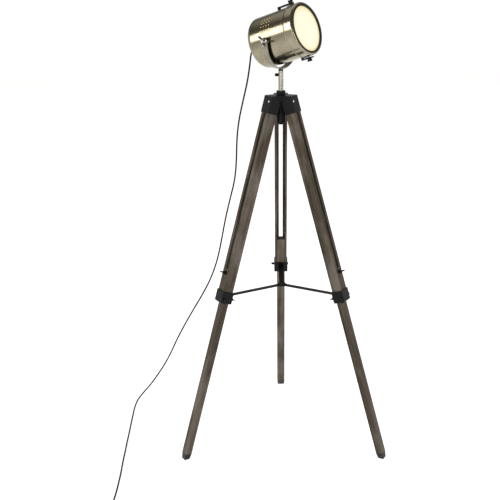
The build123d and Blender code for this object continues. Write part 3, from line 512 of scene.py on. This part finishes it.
def from_mast(x, y, z):
    """Millimetres from the mast's line as a point in the row frame."""
    return np.array([x / 1000, y / 1000 + MAST_Y, z / 1000])


down_run = [from_mast(*p) for p in HANG]
meeting = (down_run[PIGTAIL - 1] + down_run[PIGTAIL]) / 2
pigtail_line = nurbs_line("pigtail_line", [exit_point, first_bend, *down_run[:PIGTAIL], meeting])
coil_turns = []
for k in range(1, 3 * TURN_POINTS):
    angle = -2 * math.pi * k / TURN_POINTS
    spot = (COIL_X + TURN_GROWTH * COIL_R * math.cos(angle), COIL_Y + TURN_GROWTH * COIL_R * math.sin(angle))
    coil_turns.append(from_mast(*spot, 2.75 + COIL_PITCH * k / TURN_POINTS))
ROUND_X = COIL_X + COIL_R
tail = [
    from_mast(ROUND_X, COIL_Y - 4, 18.9), from_mast(ROUND_X + 1, COIL_Y - 20, 16.5),
    from_mast(ROUND_X + 1, COIL_Y - 40, 10.0), from_mast(ROUND_X, COIL_Y - 56, PLUG_Z),
    from_mast(ROUND_X, COIL_Y - 72, PLUG_Z),
]
long_line = nurbs_line("long_line", [
    meeting, *down_run[PIGTAIL:], *(from_mast(x, y, LAID_Z) for x, y in FLOOR),
    *(from_mast(ROUND_X, COIL_Y + before, LAID_Z) for before in (75, 30, 5)), *coil_turns, *tail,
])


def line_length(line):
    """Sum of the distances between a line's points."""
    return float(np.linalg.norm(np.diff(line, axis=0), axis=1).sum())


pigtail = tube("cord_pigtail", pigtail_line, CORD_R, cord_black)
long_cord = tube("cord_long", long_line, CORD_R, cord_black)
relief_path = pigtail_line[np.cumsum(np.r_[0, np.linalg.norm(np.diff(pigtail_line, axis=0), axis=1)]) < 0.030]


def ribbed_sleeve(name, path, thick, thin, ribs, material):
    """Tapered sleeve round a path whose radius carries evenly spaced ribs."""
    t = np.linspace(0, 1, 90)
    way = np.cumsum(np.r_[0, np.linalg.norm(np.diff(path, axis=0), axis=1)])
    fine = np.stack([np.interp(t * way[-1], way, path[:, i]) for i in range(3)], axis=1)
    rib = 0.0005 * np.clip(np.sin(2 * np.pi * ribs * t) * 3, -1, 1) * (t > 0.08)
    radius = thick + (thin - thick) * t + rib
    return tube(name, fine, radius, material, 24)


relief = ribbed_sleeve("strain_relief", relief_path, 0.0052, 0.0036, 7, black_plastic)


def plug_body(name, material):
    """Flat plug body: rounded-rectangle sections, width and height swelling from the relief to the face."""
    stations = np.array([0, 2, 8, 14, 20, 22, 24, 28, 40, 52, 56, 57.5, 58])
    wide = np.array([3.4, 3.9, 4.5, 5.2, 6.0, 7.6, 10.5, 12.2, 12.8, 13.0, 12.8, 12.2, 11.2])
    tall = np.array([3.4, 3.9, 4.5, 5.2, 5.8, 6.2, 6.6, 6.9, 7.0, 7.0, 6.9, 6.6, 5.8])
    fine = np.linspace(0, 58, 120)
    w, h = np.interp(fine, stations, wide), np.interp(fine, stations, tall)
    rib = 0.45 * np.clip(np.sin(2 * np.pi * fine / 3.3) * 3, -1, 1) * ((fine > 2) & (fine < 20))
    u = np.linspace(0, 2 * np.pi, 40, endpoint=False)
    power = 2.0 + 2.2 * np.clip((fine - 20) / 8, 0, 1)
    cx, sx = np.cos(u)[None, :], np.sin(u)[None, :]
    px = np.sign(cx) * np.abs(cx) ** (2 / power[:, None]) * (w + rib)[:, None]
    pz = np.sign(sx) * np.abs(sx) ** (2 / power[:, None]) * (h + rib)[:, None]
    base = from_mast(ROUND_X, COIL_Y - 40, PLUG_Z)
    points = np.stack([base[0] + px / 1000, np.broadcast_to((base[1] - fine / 1000)[:, None], px.shape),
                       base[2] + pz / 1000], axis=-1).reshape(-1, 3)
    faces = [f[::-1] for f in grid_faces(len(fine), 40)]
    faces += [list(range(40)), [(len(fine) - 1) * 40 + i for i in range(40)][::-1]]
    return make_mesh(name, points, faces, material)


plug = plug_body("plug_body", black_plastic)
PIN_PROFILE = [
    (1e-5, -0.003), (0.0020, -0.003), (0.0020, 0.0098), (0.0019, 0.010),
    (0.0020, 0.0102), (0.0020, 0.0178), (0.0014, 0.0188), (1e-5, 0.019),
]
pins = []
for i, x in enumerate((-9.5, 9.5)):
    base = from_mast(ROUND_X + x, COIL_Y - 98, PLUG_Z)
    pins.append(lathe(f"plug_pin_{i}", PIN_PROFILE, base, (0, -1, 0), (1, 0, 0), bright_metal, 24))
for piece in (plug, *pins):
    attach(piece, "tripod")
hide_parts("plug")

for piece in (pigtail, relief):
    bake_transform(piece)
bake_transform(long_cord)
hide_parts("cord_hanging", "cord_floor", "cord_coil")
print("cord lengths", line_length(pigtail_line), line_length(long_line))

# ---------------------------------------------------------------- floor and light
floor_look, _, floor_shader = start_material("floor", (0.9, 0.9, 0.9))
floor_shader.inputs["Base Color"].default_value = (0.92, 0.92, 0.92, 1.0)
floor_shader.inputs["Roughness"].default_value = 0.7
floor_shader.inputs["Emission Color"].default_value = (1.0, 1.0, 1.0, 1.0)
floor_shader.inputs["Emission Strength"].default_value = 0.80
FLOOR_CORNERS = [(-9, -9, -0.0005), (9, -9, -0.0005), (9, 11, -0.0005), (-9, 11, -0.0005)]
floor = make_mesh("floor", FLOOR_CORNERS, [[0, 1, 2, 3]], floor_look, False)

world = bpy.data.worlds.new("studio")
bpy.context.scene.world = world
world.use_nodes = True
sky = world.node_tree
coords = sky.nodes.new("ShaderNodeTexCoord")
parts = sky.nodes.new("ShaderNodeSeparateXYZ")
sky.links.new(coords.outputs["Generated"], parts.inputs[0])
height = remap(sky, parts.outputs["Z"], -0.02, 0.45, 1.0, 0.0)
behind = remap(sky, parts.outputs["Y"], -0.35, 0.25, 0.42, 1.0)
DIM_SKY, BRIGHT_SKY = (0.16, 0.15, 0.13), (1.02, 1.02, 1.02)
shade = ramp(sky, math_node(sky, "MULTIPLY", height, behind), ((0.0, DIM_SKY), (1.0, BRIGHT_SKY)))
sky.links.new(shade, sky.nodes["Background"].inputs["Color"])
sky.nodes["Background"].inputs["Strength"].default_value = 1.0


def area_light(name, place, aim, size, power):
    """Rectangular soft light turned towards a point."""
    lamp = bpy.data.lights.new(name, "AREA")
    lamp.shape = "RECTANGLE"
    lamp.size, lamp.size_y = size
    lamp.energy = power
    made = bpy.data.objects.new(name, lamp)
    bpy.context.scene.collection.objects.link(made)
    made.location = place
    direction = Matrix.Translation(aim).to_translation() - made.location
    made.rotation_euler = direction.to_track_quat("-Z", "Y").to_euler()
    return made


area_light("left_panel", (-2.75, -0.95, 2.05), (0, -0.1, 1.35), (1.2, 1.15), 24)
area_light("front_left", (-1.7, -3.2, 1.5), (0, 0, 0.75), (0.9, 1.9), 26)
area_light("front_right", (2.5, -2.6, 1.7), (0, 0, 0.7), (0.9, 2.0), 30)
area_light("floor_wash", (0.0, 2.6, 4.2), (0, 4.0, 0), (5.0, 5.0), 60)
bpy.context.scene.view_settings.view_transform = "Standard"
